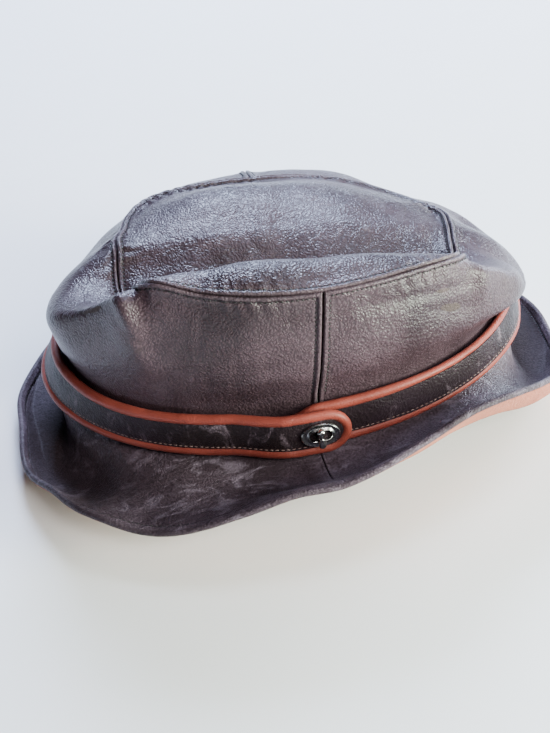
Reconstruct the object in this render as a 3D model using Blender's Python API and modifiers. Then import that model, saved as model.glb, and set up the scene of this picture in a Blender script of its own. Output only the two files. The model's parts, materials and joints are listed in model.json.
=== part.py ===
"""A slouched leather bucket hat with a piped strap and a turn lock.

Metres, +Z up, +X towards the wearer's one side, -Y where the turn lock faces. The hat rests on its brim
at z = 0. Angles run round the head anticlockwise from +X, so the turn lock is near 270 degrees.
"""
import math

import bmesh
import bpy
import numpy as np
from mathutils import Matrix, Vector

# Head and leather
head_half_length = 0.1005
head_half_width = 0.0845
leather = 0.0016             # crown leather
gap = 0.0003
rest_height = 0.0280         # lower piping's plane above the surface that the hat rests on
crown_height = 0.0700        # front tip seam above that plane
wall_foot = 0.0026           # wall's foot below that plane

# Strap and its pipings
strap_pitch = 0.0151         # between the piping centres
piping_diameter = 0.0044
strap_leather = 0.0022
strap_clearance = 0.0007     # between the crown's leather and the pipings
tab_overlap = 0.0200         # tab lies this far over the strap's other end
tab_rise = 0.0240            # the strap lifts off the crown over this length before the overlap
tab_lead = 0.0012            # the lift is full this far before the overlap
lock_angle = 268.6
lock_to_tab_end = 0.0118

# Brim
brim_width = 0.0430
brim_leather = 0.0011
rim_lip = 0.0016             # the upper leather turns over the rim this far beyond the under layer

# Turn lock
plate_length = 0.0148
plate_height = 0.0104
plate_thickness = 0.0011
slot_length = 0.0086
slot_height = 0.0046
plate_edge = 0.0004
base_length = 0.0118
base_height = 0.0072
base_thickness = 0.0009
stem_radius = 0.0015
knob_height = 0.0084
knob_width = 0.0028
knob_thickness = 0.0024
knob_edge = 0.0007

# Stations round the hat, and rows up each surface
stations = 60
wall_rows = 10
tip_rows = 8
brim_rows = 8
front_crowding = 0.35        # the crown's stations lie closer in front, where its deep folds are
strap_stations = 84
end_arc = 9                  # points round a half circle
brim_steps = 60              # fine steps that the brim's slopes are added up in
front_seam = 268.3           # at the wall's foot
rear_seam = 90.0
wall_seam_slant = 4.5        # degrees that the front seam drifts round on its way up the wall
brim_seam_slant = 1.8
seam_spread = 25.0           # degrees either side of the front seam that drift with it
sharp_angle = 40.0           # edges sharper than this stay sharp

# How the head opening departs from a plain oval. Shares of head_half_width; lean in degrees.
opening_columns = ("angle", "push", "lift", "lean")
opening_rows = [
    (0, -0.065, -0.045, 18),
    (20, -0.080, -0.070, 20),
    (45, -0.045, -0.075, 18),
    (90, 0.030, -0.060, 12),
    (135, -0.045, -0.060, 18),
    (160, -0.070, -0.050, 28),
    (180, -0.030, -0.020, 29),
    (200, -0.005, 0.000, 18),
    (220, 0.000, 0.000, 3),
    (270, 0.000, 0.000, 0),
    (310, 0.000, 0.000, 0),
    (328, -0.015, 0.000, 8),
    (343, -0.050, -0.020, 16),
]

# Crown wall: belly, shoulder and tip seam. Out as shares of head_half_width from the oval of the wall's
# outer face, up as shares of crown_height.
wall_columns = ("angle", "belly_out", "belly_up", "shoulder_out", "shoulder_up", "seam_out", "seam_up")
wall_table = [
    (0, -0.10, 0.25, -0.18, 0.34, -0.34, 0.49),
    (15, -0.12, 0.24, -0.22, 0.34, -0.38, 0.47),
    (30, -0.13, 0.23, -0.25, 0.35, -0.41, 0.48),
    (50, -0.10, 0.22, -0.22, 0.36, -0.44, 0.53),
    (70, -0.06, 0.24, -0.16, 0.41, -0.47, 0.58),
    (90, -0.03, 0.27, -0.15, 0.45, -0.49, 0.63),
    (110, -0.05, 0.27, -0.16, 0.46, -0.45, 0.65),
    (130, -0.09, 0.28, -0.20, 0.47, -0.40, 0.67),
    (150, -0.14, 0.31, -0.26, 0.50, -0.45, 0.69),
    (165, -0.13, 0.34, -0.24, 0.50, -0.49, 0.72),
    (180, -0.09, 0.37, -0.165, 0.53, -0.47, 0.74),
    (195, -0.06, 0.38, -0.05, 0.55, -0.44, 0.73),
    (207, 0.00, 0.43, 0.02, 0.645, -0.36, 0.62),
    (218, 0.03, 0.43, 0.01, 0.79, -0.27, 0.58),
    (228, 0.04, 0.43, 0.02, 0.91, -0.16, 0.74),
    (233, 0.04, 0.43, 0.04, 0.95, -0.07, 0.93),
    (238, 0.04, 0.43, 0.05, 0.89, 0.01, 1.05),
    (250, 0.04, 0.43, 0.06, 0.77, 0.04, 1.01),
    (270, 0.04, 0.43, 0.06, 0.74, 0.055, 0.95),
    (285, 0.04, 0.43, 0.06, 0.74, 0.05, 0.92),
    (295, 0.05, 0.43, 0.06, 0.71, 0.03, 0.88),
    (305, 0.06, 0.40, 0.06, 0.66, 0.01, 0.82),
    (309, 0.07, 0.39, 0.05, 0.71, -0.04, 0.76),
    (313, 0.08, 0.37, 0.06, 0.665, -0.12, 0.61),
    (322, 0.10, 0.33, 0.09, 0.48, -0.22, 0.52),
    (332, 0.06, 0.30, 0.03, 0.34, -0.29, 0.52),
    (345, -0.05, 0.29, -0.10, 0.37, -0.33, 0.52),
]

# Tip folds, front to back. Place as a share of head_half_width, heights as shares of crown_height.
tip_columns = ("place", "left", "middle", "right")
tip_table = [
    (-1.10, 0.92, 0.93, 0.80),
    (-0.84, 1.03, 0.99, 0.84),
    (-0.70, 0.86, 0.80, 0.70),
    (-0.53, 0.60, 0.58, 0.51),
    (-0.15, 0.72, 0.73, 0.57),
    (0.20, 0.72, 0.78, 0.54),
    (0.50, 0.64, 0.64, 0.50),
]
tip_centre = (0.02, -0.20)   # shares of head_half_width
tip_reach = 0.68             # half the tip's length in X, a share of head_half_width
tip_inner_ring = 0.96        # last ring of the tip, as a share of the way from its seam to its centre

# Brim slopes in degrees from level at its root, at a third, at two thirds and at its rim; up is positive.
brim_columns = ("angle", "root", "third", "two_thirds", "rim")
brim_table = [
    (0, -86, -98, -5, 80),
    (20, -88, -100, -5, 85),
    (38, -74, -80, -10, 55),
    (60, -60, -64, -30, 0),
    (90, -38, -38, -26, -8),
    (120, -60, -64, -30, 0),
    (143, -74, -80, -10, 60),
    (160, -80, -88, 0, 78),
    (175, -84, -92, 4, 82),
    (190, -84, -92, 6, 84),
    (205, -66, -72, 2, 66),
    (217, -54, -52, 14, 64),
    (228, -32, -24, 10, 34),
    (240, -22, -10, -2, 8),
    (254, -30, -6, 24, 22),
    (262, -38, -2, 38, 30),
    (270, -40, 2, 38, 30),
    (276, -40, 6, 42, 38),
    (283, -38, 12, 48, 46),
    (293, -30, 22, 50, 52),
    (303, -36, 14, 48, 56),
    (315, -56, -24, 48, 68),
    (330, -76, -74, 14, 80),
    (345, -84, -94, -5, 75),
]


def column(rows, columns, name):
    return np.array([row[columns.index(name)] for row in rows], float)


def smooth(knots, values, at):
    """Cubic curve through the values, with slopes from the neighbouring knots. Extra axes run along."""
    steps = np.diff(knots, axis=0)
    rates = np.diff(values, axis=0) / steps
    inner = (rates[:-1] * steps[1:] + rates[1:] * steps[:-1]) / (steps[:-1] + steps[1:])
    slopes = np.concatenate([rates[:1], inner, rates[-1:]])
    i = np.clip(np.sum(knots[:-1] <= at[None], axis=0) - 1, 0, len(steps) - 1) if knots.ndim > 1 else \
        np.clip(np.searchsorted(knots, at, side="right") - 1, 0, len(steps) - 1)

    def pick(array, index):
        return np.take_along_axis(array, index[None], 0)[0] if array.ndim > 1 else array[index]

    step = pick(steps, i)
    t = np.clip((at - pick(knots, i)) / step, 0, 1)
    a, b = pick(values, i), pick(values, i + 1)
    start, end = pick(slopes, i) * step, pick(slopes, i + 1) * step
    return a + t * (start + t * (3 * (b - a) - 2 * start - end + t * (2 * (a - b) + start + end)))


def around(rows, columns, name, angles):
    """A column read smoothly all the way round the hat."""
    knots = column(rows, columns, "angle")
    values = column(rows, columns, name)
    knots = np.concatenate([knots - 360, knots, knots + 360])
    return smooth(knots, np.tile(values, 3), np.mod(angles, 360))


def oval(angles, out):
    """Plan point this far out from the oval of the wall's outer face."""
    length, width = head_half_length + leather, head_half_width + leather
    c, s = np.cos(np.radians(angles)), np.sin(np.radians(angles))
    size = np.hypot(c / length, s / width)
    return length * c + out * c / length / size, width * s + out * s / width / size


def opening_profile(angles, off, rise):
    """Distance out from the oval, and height, of a point this far off the leaning wall and up along it."""
    push = around(opening_rows, opening_columns, "push", angles) * head_half_width
    lift = around(opening_rows, opening_columns, "lift", angles) * head_half_width
    lean = np.radians(around(opening_rows, opening_columns, "lean", angles))
    return push + off * np.cos(lean) - rise * np.sin(lean), lift + off * np.sin(lean) + rise * np.cos(lean)


def place(angles, out, up):
    x, y = oval(angles, out)
    return np.stack([x, y, up + 0 * x], -1)


def beside_opening(angles, off, rise):
    return place(angles, *opening_profile(angles, off, rise))


def slanted(angles, share, slant):
    """Angles with those near the front seam drifting round as the share grows."""
    away = (np.mod(angles - front_seam + 180, 360) - 180) / seam_spread
    return angles + slant * share * np.exp(-away ** 2)


def wall_surface(angles, shares):
    """Outer face of the crown wall, from its foot (0) to the tip seam (1)."""
    strap_top = strap_pitch + piping_diameter / 2
    rows = []
    for share in shares:
        turned = slanted(angles, share, wall_seam_slant)
        knots = [opening_profile(turned, 0, rise) for rise in (-wall_foot, strap_top / 2, strap_top)]
        for name in ("belly", "shoulder", "seam"):
            knots.append((around(wall_table, wall_columns, name + "_out", turned) * head_half_width,
                          around(wall_table, wall_columns, name + "_up", turned) * crown_height))
        out, up = np.array(knots).swapaxes(0, 1)
        run = np.cumsum(np.hypot(np.diff(out, axis=0), np.diff(up, axis=0)), axis=0)
        run = np.concatenate([0 * run[:1], run])
        at = share * run[-1]
        rows.append(place(turned, smooth(run, out, at), smooth(run, up, at)))
    return np.array(rows)


def tip_height(x, y):
    """Height of the tip's folds over a plan point."""
    at = y / head_half_width
    places = column(tip_table, tip_columns, "place")
    left, middle, right = (smooth(places, column(tip_table, tip_columns, side), at)
                           for side in ("left", "middle", "right"))
    across = np.clip(x / (tip_reach * head_half_width), -1.2, 1.2)
    bend = (left + right) / 2 - middle
    return crown_height * (middle + across * (right - left) / 2 + across ** 2 * bend)


def tip_surface(seam, shares):
    """Tip panel from the seam (0) to its centre (1)."""
    centre = np.array(tip_centre) * head_half_width
    rows = []
    for share in shares:
        plan = seam[:, :2] + share * (centre - seam[:, :2])
        edge = seam[:, 2] - tip_height(seam[:, 0], seam[:, 1])
        up = tip_height(plan[:, 0], plan[:, 1]) + edge * (1 - share) ** 3
        rows.append(np.column_stack([plan, up]))
    return np.array(rows)


def brim_surface(angles, shares):
    """Upper face of the brim, from its root (0) to its rim (1)."""
    thirds = np.linspace(0, 1, 4)
    fine = np.linspace(0, 1, brim_steps + 1)
    step = brim_width / brim_steps
    floor = 2 * brim_leather + gap - rest_height
    rows = []
    for share in shares:
        turned = slanted(angles, share, brim_seam_slant)
        slopes = np.array([around(brim_table, brim_columns, name, turned) for name in brim_columns[1:]])
        slopes = np.radians([smooth(thirds, side, fine) for side in slopes.T]).T
        middle = (slopes[1:] + slopes[:-1]) / 2
        weight = np.clip(share * brim_steps - np.arange(brim_steps), 0, 1)[:, None]
        out, up = opening_profile(turned, -leather, -wall_foot - gap)
        out = out + np.sum(np.cos(middle) * step * weight, axis=0)
        up = up + np.sum(np.sin(middle) * step * weight, axis=0)
        rows.append(place(turned, out, np.maximum(up, floor)))
    return np.array(rows)


def normals(grid):
    """Unit normals of a closed grid of rows, pointing out of the hat."""
    along = np.roll(grid, -1, 1) - np.roll(grid, 1, 1)
    n = np.cross(along, np.gradient(grid, axis=0))
    return n / np.maximum(np.linalg.norm(n, axis=2, keepdims=True), 1e-9)


def skin(rows, closed):
    """Triangles of a grid of points, all split the same way so that leather lies true on leather."""
    count, wide = rows
    faces = []
    for r in range(count - 1):
        for c in range(wide if closed else wide - 1):
            here, beside = r * wide + c, r * wide + (c + 1) % wide
            faces += [(here, beside, beside + wide), (here, beside + wide, here + wide)]
    return faces


def shell(name, outer, inner, closed, material, pole=False):
    """A leather panel between two skins, with its cut edges closed."""
    count, wide = outer.shape[:2]
    size = count * wide
    verts = [tuple(p) for p in outer.reshape(-1, 3)] + [tuple(p) for p in inner.reshape(-1, 3)]
    faces = skin((count, wide), closed)
    faces += [tuple(i + size for i in reversed(f)) for f in skin((count, wide), closed)]
    across = wide if closed else wide - 1
    for c in range(across):
        d = (c + 1) % wide
        faces.append((c, c + size, d + size, d))
        if not pole:
            last = (count - 1) * wide
            faces.append((last + c, last + d, last + d + size, last + c + size))
    if pole:
        last = (count - 1) * wide
        for base, turn in ((0, 1), (size, -1)):
            verts.append(tuple(np.mean(verts[base + last:base + last + wide], axis=0)))
            middle = len(verts) - 1
            faces += [(base + last + c, base + last + (c + 1) % wide, middle)[::turn] for c in range(wide)]
    if not closed:
        for side, turn in ((0, 1), (wide - 1, -1)):
            for r in range(count - 1):
                a, b = r * wide + side, (r + 1) * wide + side
                faces.append((a, b, b + size, a + size)[::turn])
    return add_mesh(name, verts, faces, material)


def add_mesh(name, verts, faces, material):
    mesh = bpy.data.meshes.new(name)
    mesh.from_pydata(verts, [], faces)
    mesh.materials.append(material)
    mesh.shade_smooth()
    mesh.set_sharp_from_angle(angle=math.radians(sharp_angle))
    piece = bpy.data.objects.new(name, mesh)
    parts.objects.link(piece)
    return piece


def finish(name, colour, roughness, metallic=0.0):
    material = bpy.data.materials.new(name)
    material.use_nodes = True
    shader = material.node_tree.nodes["Principled BSDF"]
    shader.inputs["Base Color"].default_value = (*colour, 1)
    shader.inputs["Roughness"].default_value = roughness
    shader.inputs["Metallic"].default_value = metallic
    material.diffuse_color = (*colour, 1)
    return material


def spaced(count, start=0.0, end=1.0):
    return np.linspace(start, end, count)


def crowded(start, end, count, crowding):
    """Angles from start up to end that draw together towards the end, or towards the start if negative."""
    share = np.arange(count) / count
    return start + (end - start) * (share + crowding * share * (1 - share))


def ring_angles(crowding):
    """Angles all round from the rear seam, with how many lie before the front seam."""
    left = round(stations * (front_seam - rear_seam) / 360)
    first = crowded(rear_seam, front_seam, left, crowding)
    return np.concatenate([first, crowded(front_seam, rear_seam + 360, stations - left, -crowding)]), left


def drawn_back(grid, row, towards, length):
    """A copy of the grid with one row moved towards the next by a length."""
    grid = grid.copy()
    step = grid[towards] - grid[row]
    grid[row] += step / np.linalg.norm(step, axis=1, keepdims=True) * length
    return grid


def panel(grid, first, last):
    """Columns from one seam to the next, with half the seam's gap taken off both ends."""
    columns = np.arange(first, last + 1) % grid.shape[1]
    turned = grid[:, columns].swapaxes(0, 1)
    turned = drawn_back(turned, 0, 1, gap / 2)
    return drawn_back(turned, -1, -2, gap / 2).swapaxes(0, 1)


def crown():
    """Two wall panels and the tip, mitred along the tip seam."""
    angles, left = ring_angles(front_crowding)
    wall = wall_surface(angles, spaced(wall_rows + 1))
    tip = tip_surface(wall[-1], spaced(tip_rows + 1, 0, tip_inner_ring))
    outer = np.concatenate([wall, tip[1:]])
    skins = outer, outer - normals(outer) * leather
    walls = [drawn_back(grid[:wall_rows + 1], -1, -2, gap / 2) for grid in skins]
    for name, first, last in (("wall_left", 0, left), ("wall_right", left, stations)):
        shell(name, *(panel(grid, first, last) for grid in walls), False, crown_leather)
    tips = [drawn_back(grid[wall_rows:], 0, 1, gap / 2) for grid in skins]
    shell("crown_tip", *tips, True, crown_leather, pole=True)


def brim():
    """Two upper panels over one under layer that ends short of their rim."""
    angles, left = ring_angles(0)
    top = brim_surface(angles, spaced(brim_rows + 1))
    down = normals(top)
    layers = [top + down * depth for depth in (0, brim_leather, brim_leather + gap, 2 * brim_leather + gap)]
    for name, first, last in (("brim_left", 0, left), ("brim_right", left, stations)):
        shell(name, *(panel(grid, first, last)[::-1] for grid in layers[:2]), False, brim_upper)
    under = [drawn_back(grid, -1, -2, rim_lip)[::-1] for grid in layers[2:]]
    shell("brim_under", *under, True, brim_lining)


def degrees_along(length):
    """Degrees that a length takes along the front of the strap, where it runs across the head."""
    return np.degrees(length / (head_half_length + leather))


def strap_route():
    """Angles along the strap from its hidden end to the tab, and how far each lies off the crown."""
    end = lock_angle + 360 + degrees_along(lock_to_tab_end - strap_pitch / 2 - piping_diameter / 2)
    start = end - 360 - degrees_along(tab_overlap - strap_pitch / 2 - piping_diameter / 2)
    angles = np.linspace(start, end, strap_stations)
    full = start + 360 - degrees_along(tab_lead)
    lift = np.clip(1 + (angles - full) / degrees_along(tab_rise), 0, 1)
    return angles, lift * lift * (3 - 2 * lift) * (piping_diameter + gap)


def strap_point(angles, off, rise):
    return beside_opening(angles, strap_clearance + piping_diameter / 2 + off, rise)


def strap():
    """A flat band between the pipings, with a round end."""
    angles, off = strap_route()
    middle = strap_pitch / 2
    half = middle - piping_diameter / 2 - gap
    tip = spaced(end_arc, 0, 90)[1:-1]
    angles = np.concatenate([angles, angles[-1] + degrees_along(half * np.sin(np.radians(tip)))])
    off = np.concatenate([off, np.full(len(tip), off[-1])])
    high = np.concatenate([np.full(len(angles) - len(tip), half), half * np.cos(np.radians(tip))])
    corners = [(-1, -1), (1, -1), (1, 1), (-1, 1)]
    rows = [strap_point(angles, off + out * strap_leather / 2, middle + up * high) for out, up in corners]
    count = len(angles)
    verts = [tuple(p) for row in rows for p in row]
    faces = [(k * count + c, k * count + c + 1, (k + 1) % 4 * count + c + 1, (k + 1) % 4 * count + c)
             for k in range(4) for c in range(count - 1)]
    faces.append(tuple(k * count for k in range(4)))
    faces.append(tuple(k * count + count - 1 for k in (3, 2, 1, 0)))
    add_mesh("strap", verts, faces, strap_hide)


def piping():
    """One cord of rolled leather along both edges, round the tab's end."""
    angles, off = strap_route()
    radius = strap_pitch / 2
    turn = np.radians(spaced(end_arc, -90, 90))[1:-1]
    lower = strap_point(angles, off, 0)
    upper = strap_point(angles, off, strap_pitch)
    bend = strap_point(angles[-1] + degrees_along(np.cos(turn) * radius), off[-1],
                       radius + np.sin(turn) * radius)
    route = np.concatenate([lower, bend, upper[::-1]])
    curve = bpy.data.curves.new("strap_piping", "CURVE")
    curve.dimensions = "3D"
    curve.bevel_depth = piping_diameter / 2
    curve.bevel_resolution = 1
    curve.use_fill_caps = True
    spline = curve.splines.new("POLY")
    spline.points.add(len(route) - 1)
    for point, co in zip(spline.points, route):
        point.co = (*co, 1)
    curve.materials.append(piping_hide)
    parts.objects.link(bpy.data.objects.new("strap_piping", curve))


def cut(piece, cutter, operation="DIFFERENCE"):
    """Cut a piece with a solid that stays hidden beside it, or join the two."""
    cutter.hide_render = True
    cutter.display_type = "WIRE"
    cutters.objects.link(cutter)
    hole = piece.modifiers.new(cutter.name, "BOOLEAN")
    hole.operation = operation
    hole.object = cutter


def lozenge(length, height):
    """Outline of a bar with round ends, in X and Y."""
    radius = height / 2
    arc = np.radians(spaced(end_arc, -90, 90))
    right = np.column_stack([length / 2 - radius + radius * np.cos(arc), radius * np.sin(arc)])
    return np.concatenate([right, -right])


def ellipse(length, height, sides):
    arc = np.radians(np.arange(sides) * 360 / sides)
    return np.column_stack([length / 2 * np.cos(arc), height / 2 * np.sin(arc)])


def plate(name, outline, start, thickness, material=None, edge=0.0):
    """A flat piece with this outline, standing on the lock's plane at a height along its axis."""
    bm = bmesh.new()
    face = bm.faces.new([bm.verts.new((x, y, start)) for x, y in outline])
    grown = bmesh.ops.extrude_face_region(bm, geom=[face])["geom"]
    bmesh.ops.translate(bm, vec=(0, 0, thickness), verts=[v for v in grown if isinstance(v, bmesh.types.BMVert)])
    bmesh.ops.recalc_face_normals(bm, faces=bm.faces)
    mesh = bpy.data.meshes.new(name)
    bm.to_mesh(mesh)
    bm.free()
    piece = bpy.data.objects.new(name, mesh)
    piece.parent = lock
    if material:
        mesh.materials.append(material)
        parts.objects.link(piece)
    if edge:
        bevel = piece.modifiers.new("rounded_edges", "BEVEL")
        bevel.width = edge
        bevel.segments = 2
        bevel.limit_method = "ANGLE"
    return piece


def lock_frame():
    """Empty on the turn lock's axis: Z out of the strap, Y up it, origin on the tab's hidden face."""
    angles, off = strap_route()
    at = np.array([lock_angle])
    middle = strap_pitch / 2
    inner = off[-1] - strap_leather / 2
    origin = strap_point(at, inner, middle)[0]
    up = strap_point(at, inner, middle + 0.001)[0] - origin
    along = strap_point(at + 0.5, inner, middle)[0] - strap_point(at - 0.5, inner, middle)[0]
    along = Vector(along).normalized()
    out = along.cross(Vector(up).normalized()).normalized()
    frame = bpy.data.objects.new("lock_axis", None)
    frame.matrix_world = Matrix((along, out.cross(along), out)).transposed().to_4x4()
    frame.matrix_world.translation = origin
    parts.objects.link(frame)
    return frame


def turn_lock():
    """Slotted plate on the tab, base under it with a stem through the slot, and the turning knob."""
    face = strap_leather + gap
    eyelet = plate("lock_plate", ellipse(plate_length, plate_height, 4 * end_arc), face, plate_thickness,
                   dark_nickel, plate_edge)
    slot = lozenge(slot_length, slot_height)
    cut(eyelet, plate("plate_slot", slot, face - gap, plate_thickness + 2 * gap))
    cut(bpy.data.objects["strap"], plate("tab_hole", slot, -gap, strap_leather + 2 * gap))
    foot = gap + base_thickness
    stem_top = face + plate_thickness + gap
    base = plate("lock_base", lozenge(base_length, base_height), -foot, base_thickness, dark_nickel)
    stem = ellipse(2 * stem_radius, 2 * stem_radius, 2 * end_arc)
    cut(base, plate("stem", stem, -foot + base_thickness / 2, stem_top + foot - base_thickness / 2), "UNION")
    knob = plate("turn_knob", lozenge(knob_height, knob_width), stem_top + gap, knob_thickness,
                 dark_nickel, knob_edge)
    knob.rotation_euler.z = math.radians(90)


def settle():
    """Move the hat so that it rests on z = 0, centred on X and Y, and return the move."""
    bpy.context.view_layer.update()
    graph = bpy.context.evaluated_depsgraph_get()
    points = []
    for piece in parts.objects:
        if piece != lock:
            shown = piece.evaluated_get(graph)
            points += [shown.matrix_world @ vert.co for vert in shown.to_mesh().vertices]
            shown.to_mesh_clear()
    low, high = np.min(points, axis=0), np.max(points, axis=0)
    move = Vector((-(low[0] + high[0]) / 2, -(low[1] + high[1]) / 2, -low[2]))
    for piece in parts.objects:
        if piece.parent is None:
            piece.location += move
    return move


for old in list(bpy.data.objects):
    bpy.data.objects.remove(old)
parts = bpy.data.collections.new("leather_bucket_hat")
cutters = bpy.data.collections.new("cutters")
for group in (parts, cutters):
    bpy.context.scene.collection.children.link(group)
crown_leather = finish("crown_leather", (0.060, 0.040, 0.045), 0.42)
brim_upper = finish("brim_upper", (0.055, 0.038, 0.045), 0.45)
brim_lining = finish("brim_lining", (0.42, 0.17, 0.10), 0.50)
strap_hide = finish("strap_hide", (0.030, 0.022, 0.022), 0.45)
piping_hide = finish("piping_hide", (0.36, 0.10, 0.055), 0.45)
dark_nickel = finish("dark_nickel", (0.10, 0.10, 0.10), 0.28, 1.0)
crown()
brim()
strap()
piping()
lock = lock_frame()
turn_lock()
shift = settle()
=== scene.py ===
# A slouched leather bucket hat with a piped strap and a turn lock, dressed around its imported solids.
import json
import math

import bpy
import numpy as np
from mathutils import Matrix, Vector


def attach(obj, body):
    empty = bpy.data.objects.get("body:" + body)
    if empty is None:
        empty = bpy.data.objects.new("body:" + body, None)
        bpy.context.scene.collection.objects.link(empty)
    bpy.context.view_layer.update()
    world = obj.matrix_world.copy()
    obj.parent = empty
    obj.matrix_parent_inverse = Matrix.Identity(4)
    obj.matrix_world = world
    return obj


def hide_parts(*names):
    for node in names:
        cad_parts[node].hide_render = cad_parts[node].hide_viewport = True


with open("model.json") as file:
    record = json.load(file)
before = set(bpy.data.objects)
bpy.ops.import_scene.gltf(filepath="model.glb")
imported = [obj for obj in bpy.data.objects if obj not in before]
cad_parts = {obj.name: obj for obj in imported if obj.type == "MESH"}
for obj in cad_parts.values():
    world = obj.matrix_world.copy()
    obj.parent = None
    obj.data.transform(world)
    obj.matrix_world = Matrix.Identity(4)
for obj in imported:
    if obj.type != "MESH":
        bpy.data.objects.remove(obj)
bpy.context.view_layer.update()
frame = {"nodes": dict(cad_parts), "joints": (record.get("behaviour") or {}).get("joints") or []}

print("solids loaded:", len(frame["nodes"]))

mm = 0.001

# Sizes in metres and angles in degrees, as in the solids. Angles run anticlockwise from +X.
hat = {
    "headHalfLength": 0.1005,
    "headHalfWidth": 0.0845,
    "leather": 0.0016,
    "gap": 0.0003,
    "restHeight": 0.0280,
    "crownHeight": 0.0700,
    "wallFoot": 0.0026,
    "frontSeam": 268.3,
    "rearSeam": 90.0,
    "seamSpread": 25.0,
    "wallSlant": 4.5,
    "brimSlant": 1.8,
    "tipCentre": (0.02, -0.20),
    "tipReach": 0.68,
    "tipInnerRing": 0.985,
}
strap = {
    "pitch": 0.0151,
    "piping": 0.0044,
    "leather": 0.0022,
    "clearance": 0.0007,
    "overlap": 0.0200,
    "rise": 0.0240,
    "lead": 0.0012,
    "lockAngle": 268.6,
    "lockToEnd": 0.0118,
}
brim = {
    "width": 0.0430,
    "leather": 0.0011,
    "steps": 60,
}

# How the head opening departs from an oval: shares of the head's half width, and degrees.
openingColumns = ("angle", "push", "lift", "lean")
openingRows = [
    (0, -0.065, -0.045, 18),
    (20, -0.080, -0.070, 20),
    (45, -0.045, -0.075, 18),
    (90, 0.030, -0.060, 12),
    (135, -0.045, -0.060, 18),
    (160, -0.070, -0.050, 28),
    (180, -0.030, -0.020, 29),
    (200, -0.005, 0.000, 18),
    (220, 0.000, 0.000, 3),
    (270, 0.000, 0.000, 0),
    (310, 0.000, 0.000, 0),
    (328, -0.015, 0.000, 8),
    (343, -0.050, -0.020, 16),
]

# Crown wall. Out as shares of the head's half width, up as shares of the crown's height.
wallColumns = ("angle", "bellyOut", "bellyUp", "shoulderOut", "shoulderUp", "seamOut", "seamUp")
wallRows = [
    (0, -0.10, 0.25, -0.18, 0.34, -0.34, 0.49),
    (15, -0.12, 0.24, -0.22, 0.34, -0.38, 0.47),
    (30, -0.13, 0.23, -0.25, 0.35, -0.41, 0.48),
    (50, -0.10, 0.22, -0.22, 0.36, -0.44, 0.53),
    (70, -0.06, 0.24, -0.16, 0.41, -0.47, 0.58),
    (90, -0.03, 0.27, -0.15, 0.45, -0.49, 0.63),
    (110, -0.05, 0.27, -0.16, 0.46, -0.45, 0.65),
    (130, -0.09, 0.28, -0.20, 0.47, -0.40, 0.67),
    (150, -0.14, 0.31, -0.26, 0.50, -0.45, 0.69),
    (165, -0.13, 0.34, -0.24, 0.50, -0.49, 0.72),
    (180, -0.09, 0.37, -0.165, 0.53, -0.47, 0.74),
    (195, -0.06, 0.38, -0.05, 0.55, -0.44, 0.73),
    (207, 0.00, 0.43, 0.02, 0.645, -0.36, 0.62),
    (218, 0.03, 0.43, 0.01, 0.79, -0.27, 0.58),
    (228, 0.04, 0.43, 0.02, 0.93, -0.16, 0.76),
    (233, 0.04, 0.43, 0.04, 0.98, -0.07, 0.95),
    (238, 0.04, 0.43, 0.05, 0.89, 0.01, 1.05),
    (250, 0.04, 0.43, 0.06, 0.77, 0.04, 1.01),
    (270, 0.04, 0.43, 0.06, 0.74, 0.055, 0.95),
    (285, 0.04, 0.43, 0.06, 0.74, 0.05, 0.92),
    (295, 0.05, 0.43, 0.06, 0.71, 0.03, 0.88),
    (305, 0.06, 0.40, 0.06, 0.66, 0.01, 0.82),
    (309, 0.07, 0.39, 0.05, 0.71, -0.04, 0.76),
    (313, 0.08, 0.37, 0.06, 0.665, -0.12, 0.61),
    (322, 0.10, 0.33, 0.09, 0.48, -0.22, 0.52),
    (332, 0.06, 0.30, 0.03, 0.34, -0.29, 0.52),
    (345, -0.05, 0.29, -0.10, 0.37, -0.33, 0.52),
]

# Tip folds from front to back. Place as a share of the head's half width, heights of the crown's height.
tipColumns = ("place", "left", "middle", "right")
tipRows = [
    (-1.10, 0.92, 0.93, 0.80),
    (-0.84, 1.03, 0.99, 0.84),
    (-0.70, 0.86, 0.80, 0.70),
    (-0.53, 0.60, 0.58, 0.51),
    (-0.15, 0.72, 0.73, 0.57),
    (0.20, 0.72, 0.78, 0.54),
    (0.50, 0.64, 0.64, 0.50),
]

# Brim slopes in degrees from level, from its root to its rim. Up is positive.
brimColumns = ("angle", "root", "third", "twoThirds", "rim")
brimRows = [
    (0, -86, -98, -5, 80),
    (20, -88, -100, -5, 85),
    (38, -74, -80, -10, 55),
    (60, -60, -64, -30, 0),
    (90, -38, -38, -26, -8),
    (120, -60, -64, -30, 0),
    (143, -74, -80, -10, 60),
    (160, -80, -88, 0, 78),
    (175, -84, -92, 4, 82),
    (190, -84, -92, 6, 84),
    (205, -66, -72, 2, 66),
    (217, -54, -52, 14, 64),
    (228, -32, -24, 10, 34),
    (240, -22, -10, -2, 8),
    (254, -30, -6, 24, 22),
    (262, -38, -2, 38, 30),
    (270, -40, 2, 38, 30),
    (276, -40, 6, 42, 38),
    (283, -38, 12, 48, 46),
    (293, -30, 22, 50, 52),
    (303, -36, 14, 48, 56),
    (315, -56, -24, 48, 68),
    (330, -76, -74, 14, 80),
    (345, -84, -94, -5, 75),
]


def columnOf(rows, columns, name):
    return np.array([row[columns.index(name)] for row in rows], float)


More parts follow.
